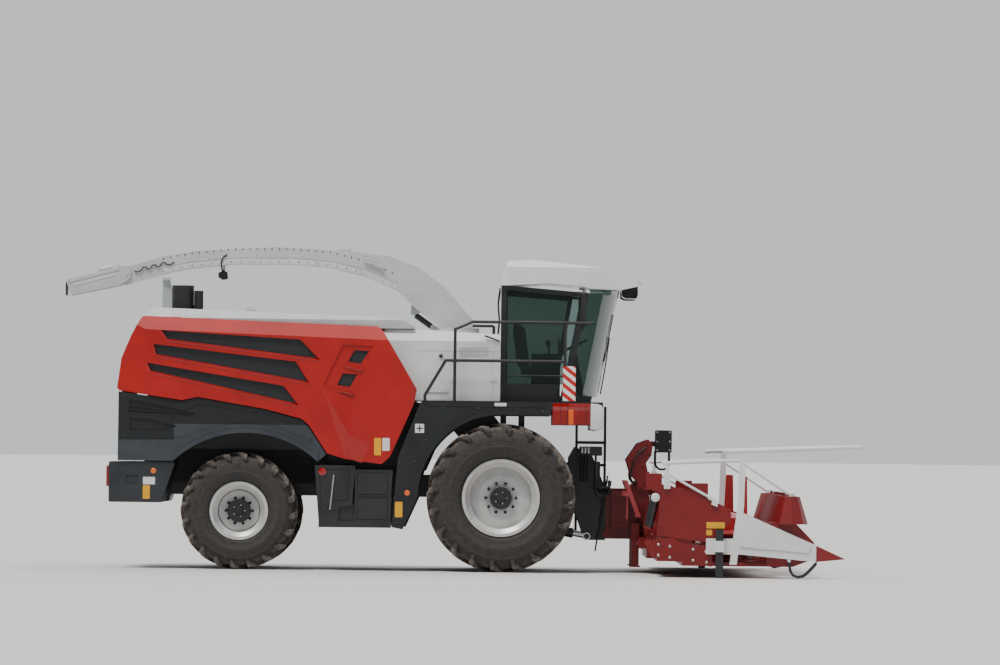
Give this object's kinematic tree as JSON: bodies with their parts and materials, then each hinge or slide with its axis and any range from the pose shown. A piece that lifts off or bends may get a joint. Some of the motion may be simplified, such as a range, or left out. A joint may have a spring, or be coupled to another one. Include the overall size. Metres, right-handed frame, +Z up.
{
  "type": "self-propelled forage harvester with folding rotary maize header",
  "caption": "Forage harvester with cab, slewing discharge spout, steered rear axle, lifting side panels and a folding rotary maize header on its feeder house.",
  "frame": {"origin": "middle of the footprint, on the ground", "axes": "+X forwards, +Y to the left, +Z up"},
  "size_m": [10.3182, 7.4806, 4.225],
  "materials": {
    "dark_paint": "satin",
    "black_paint": "satin",
    "black_plastic": "matte",
    "dark_plastic": "matte",
    "black_tube": "gloss",
    "cast_iron": "satin",
    "white_paint": "gloss",
    "white_plastic": "gloss",
    "grey_paint": "satin",
    "spout_paint": "satin",
    "panel_red": "gloss",
    "header_red": "gloss",
    "lamp_lens": "gloss",
    "glass": "polished",
    "seat_fabric": "woven",
    "steel_rod": "polished",
    "tyre": "matte",
    "rim_silver": "satin"
  },
  "bodies": {
    "chassis": {"frame": "dark_paint", "front_axle": "dark_paint", "rear_axle": "dark_paint", "engine": "cast_iron", "chopper_housing": "dark_paint", "white_housing": "white_paint", "hood_deck": "grey_paint", "rear_grille": "black_plastic", "rear_skirts": "black_plastic", "rear_box": "dark_paint", "side_boxes": "dark_paint", "fenders": "dark_plastic", "ladder": "dark_paint", "rails": "black_tube", "lamps": "lamp_lens", "air_cleaner": "black_plastic", "spout_rest": "white_paint", "cab_frame": "black_paint", "cab_roof": "white_plastic", "cab_glass": "glass", "seat": "seat_fabric", "console": "black_plastic"},
    "front_wheel_right": {"front_tyre_right": "tyre", "front_rim_right": "rim_silver"},
    "steering_knuckle_right": {"knuckle_right": "cast_iron"},
    "rear_wheel_right": {"rear_tyre_right": "tyre", "rear_rim_right": "rim_silver"},
    "panel_right": {"side_panel_right": "panel_red"},
    "header_wing_right": {"wing_right": "header_red", "divider_right": "white_paint"},
    "header_stand_right": {"stand_right": "black_paint"},
    "front_wheel_left": {"front_tyre_left": "tyre", "front_rim_left": "rim_silver"},
    "steering_knuckle_left": {"knuckle_left": "cast_iron"},
    "rear_wheel_left": {"rear_tyre_left": "tyre", "rear_rim_left": "rim_silver"},
    "panel_left": {"side_panel_left": "panel_red"},
    "header_wing_left": {"wing_left": "header_red", "divider_left": "white_paint"},
    "header_stand_left": {"stand_left": "black_paint"},
    "steering_link": {"tie_rod": "steel_rod"},
    "spout_base": {"spout_turret": "spout_paint"},
    "spout": {"spout_arm": "spout_paint"},
    "deflector": {"spout_deflector": "spout_paint"},
    "spout_ram_barrel": {"spout_barrel": "black_paint"},
    "spout_ram_rod": {"spout_rod": "steel_rod"},
    "feeder": {"feeder_house": "black_paint", "header_centre": "header_red"},
    "lift_ram_barrels": {"ram_barrels": "black_paint"},
    "lift_ram_rods": {"ram_rods": "steel_rod"},
    "cab_door": {"door_frame": "black_paint", "door_glass": "glass"},
    "crop_rotor_1": {"rotor_1": "header_red"},
    "crop_rotor_2": {"rotor_2": "header_red"},
    "crop_rotor_3": {"rotor_3": "header_red"},
    "crop_rotor_4": {"rotor_4": "header_red"},
    "crop_rotor_5": {"rotor_5": "header_red"},
    "crop_rotor_6": {"rotor_6": "header_red"},
    "crop_rotor_7": {"rotor_7": "header_red"},
    "crop_rotor_8": {"rotor_8": "header_red"}
  },
  "joints": [
    {"name": "front_wheel_right_spin", "type": "hinge", "parent": "chassis", "child": "front_wheel_right", "pos_m": [0.602, -1.285, 0.965], "axis": [0, 1, 0], "continuous": true},
    {"name": "steer_right", "type": "hinge", "parent": "chassis", "child": "steering_knuckle_right", "pos_m": [-2.798, -0.88, 0.76], "axis": [0, 0, 1], "range_deg": [-35, 35]},
    {"name": "rear_wheel_right_spin", "type": "hinge", "parent": "steering_knuckle_right", "child": "rear_wheel_right", "pos_m": [-2.798, -1.15, 0.76], "axis": [0, 1, 0], "continuous": true},
    {"name": "side_panel_right_lift", "type": "hinge", "parent": "chassis", "child": "panel_right", "pos_m": [-2.548, -1.278, 3.216], "axis": [-0.9994, 0, 0.0346], "range_deg": [0, 70]},
    {"name": "wing_right_fold", "type": "hinge", "parent": "feeder", "child": "header_wing_right", "pos_m": [2.697, -1.25, 0.62], "axis": [-1, 0, 0], "range_deg": [0, 90]},
    {"name": "stand_right_slide", "type": "slide", "parent": "header_wing_right", "child": "header_stand_right", "axis": [0, 0, 1], "range_m": [0, 0.3]},
    {"name": "front_wheel_left_spin", "type": "hinge", "parent": "chassis", "child": "front_wheel_left", "pos_m": [0.602, 1.285, 0.965], "axis": [0, 1, 0], "continuous": true},
    {"name": "steer_left", "type": "hinge", "parent": "chassis", "child": "steering_knuckle_left", "pos_m": [-2.798, 0.88, 0.76], "axis": [0, 0, 1], "range_deg": [-35, 35]},
    {"name": "rear_wheel_left_spin", "type": "hinge", "parent": "steering_knuckle_left", "child": "rear_wheel_left", "pos_m": [-2.798, 1.15, 0.76], "axis": [0, 1, 0], "continuous": true},
    {"name": "side_panel_left_lift", "type": "hinge", "parent": "chassis", "child": "panel_left", "pos_m": [-2.548, 1.278, 3.216], "axis": [0.9994, 0, -0.0346], "range_deg": [0, 70]},
    {"name": "wing_left_fold", "type": "hinge", "parent": "feeder", "child": "header_wing_left", "pos_m": [2.697, 1.25, 0.62], "axis": [1, 0, 0], "range_deg": [0, 90]},
    {"name": "stand_left_slide", "type": "slide", "parent": "header_wing_left", "child": "header_stand_left", "axis": [0, 0, 1], "range_m": [0, 0.3]},
    {"name": "steering_link_slide", "type": "slide", "parent": "chassis", "child": "steering_link", "axis": [0, 1, 0], "range_m": [-0.1155, 0.1155]},
    {"name": "spout_slew", "type": "hinge", "parent": "chassis", "child": "spout_base", "pos_m": [0.002, 0, 3.16], "axis": [0, 0, 1], "range_deg": [-105, 105]},
    {"name": "spout_lift", "type": "hinge", "parent": "spout_base", "child": "spout", "pos_m": [0.132, 0, 3.235], "axis": [0, 1, 0], "range_deg": [0, 30]},
    {"name": "deflector_tilt", "type": "hinge", "parent": "spout", "child": "deflector", "pos_m": [-4.353, 0, 3.85], "axis": [0, -1, 0], "range_deg": [0, 45]},
    {"name": "spout_ram_swing", "type": "hinge", "parent": "spout_base", "child": "spout_ram_barrel", "pos_m": [-0.328, 0, 3.196], "axis": [0, 1, 0], "range_deg": [0, 46]},
    {"name": "spout_ram_stroke", "type": "slide", "parent": "spout_ram_barrel", "child": "spout_ram_rod", "axis": [-0.8163, 0, 0.5777], "range_m": [0, 0.2159]},
    {"name": "header_lift", "type": "hinge", "parent": "chassis", "child": "feeder", "pos_m": [1.162, 0, 1.18], "axis": [0, -1, 0], "range_deg": [0, 12]},
    {"name": "lift_ram_swing", "type": "hinge", "parent": "chassis", "child": "lift_ram_barrels", "pos_m": [0.932, 0, 0.62], "axis": [0, -1, 0], "range_deg": [0, 11]},
    {"name": "lift_ram_stroke", "type": "slide", "parent": "lift_ram_barrels", "child": "lift_ram_rods", "axis": [0.9829, 0, -0.1843], "range_m": [0, 0.1234]},
    {"name": "cab_door_swing", "type": "hinge", "parent": "chassis", "child": "cab_door", "pos_m": [0.594, 0.915, 3], "axis": [0, 0, 1], "range_deg": [0, 80]},
    {"name": "rotor_1_spin", "type": "hinge", "parent": "header_wing_right", "child": "crop_rotor_1", "pos_m": [3.582, -3.1, 0.4], "axis": [0, 0, 1], "continuous": true},
    {"name": "rotor_2_spin", "type": "hinge", "parent": "header_wing_right", "child": "crop_rotor_2", "pos_m": [3.582, -2.015, 0.4], "axis": [0, 0, 1], "continuous": true},
    {"name": "rotor_3_spin", "type": "hinge", "parent": "feeder", "child": "crop_rotor_3", "pos_m": [3.582, -1.125, 0.4], "axis": [0, 0, 1], "continuous": true},
    {"name": "rotor_4_spin", "type": "hinge", "parent": "feeder", "child": "crop_rotor_4", "pos_m": [3.582, -0.375, 0.4], "axis": [0, 0, 1], "continuous": true},
    {"name": "rotor_5_spin", "type": "hinge", "parent": "feeder", "child": "crop_rotor_5", "pos_m": [3.582, 0.375, 0.4], "axis": [0, 0, 1], "continuous": true},
    {"name": "rotor_6_spin", "type": "hinge", "parent": "feeder", "child": "crop_rotor_6", "pos_m": [3.582, 1.125, 0.4], "axis": [0, 0, 1], "continuous": true},
    {"name": "rotor_7_spin", "type": "hinge", "parent": "header_wing_left", "child": "crop_rotor_7", "pos_m": [3.582, 2.015, 0.4], "axis": [0, 0, 1], "continuous": true},
    {"name": "rotor_8_spin", "type": "hinge", "parent": "header_wing_left", "child": "crop_rotor_8", "pos_m": [3.582, 3.1, 0.4], "axis": [0, 0, 1], "continuous": true}
  ],
  "couplings": [
    {"joint": "steer_left", "follows": "steer_right", "ratio": 1},
    {"joint": "steering_link_slide", "follows": "steer_right", "m_per_rad": -0.18779},
    {"joint": "spout_ram_swing", "follows": "spout_lift", "ratio": 1.4956},
    {"joint": "spout_ram_stroke", "follows": "spout_lift", "m_per_rad": 0.40851},
    {"joint": "lift_ram_swing", "follows": "header_lift", "ratio": 0.80342},
    {"joint": "lift_ram_stroke", "follows": "header_lift", "m_per_rad": 0.57944},
    {"joint": "rotor_1_spin", "follows": "rotor_4_spin", "ratio": 1},
    {"joint": "rotor_2_spin", "follows": "rotor_4_spin", "ratio": 1},
    {"joint": "rotor_3_spin", "follows": "rotor_4_spin", "ratio": 1},
    {"joint": "rotor_5_spin", "follows": "rotor_4_spin", "ratio": -1},
    {"joint": "rotor_6_spin", "follows": "rotor_4_spin", "ratio": -1},
    {"joint": "rotor_7_spin", "follows": "rotor_4_spin", "ratio": -1},
    {"joint": "rotor_8_spin", "follows": "rotor_4_spin", "ratio": -1}
  ]
}
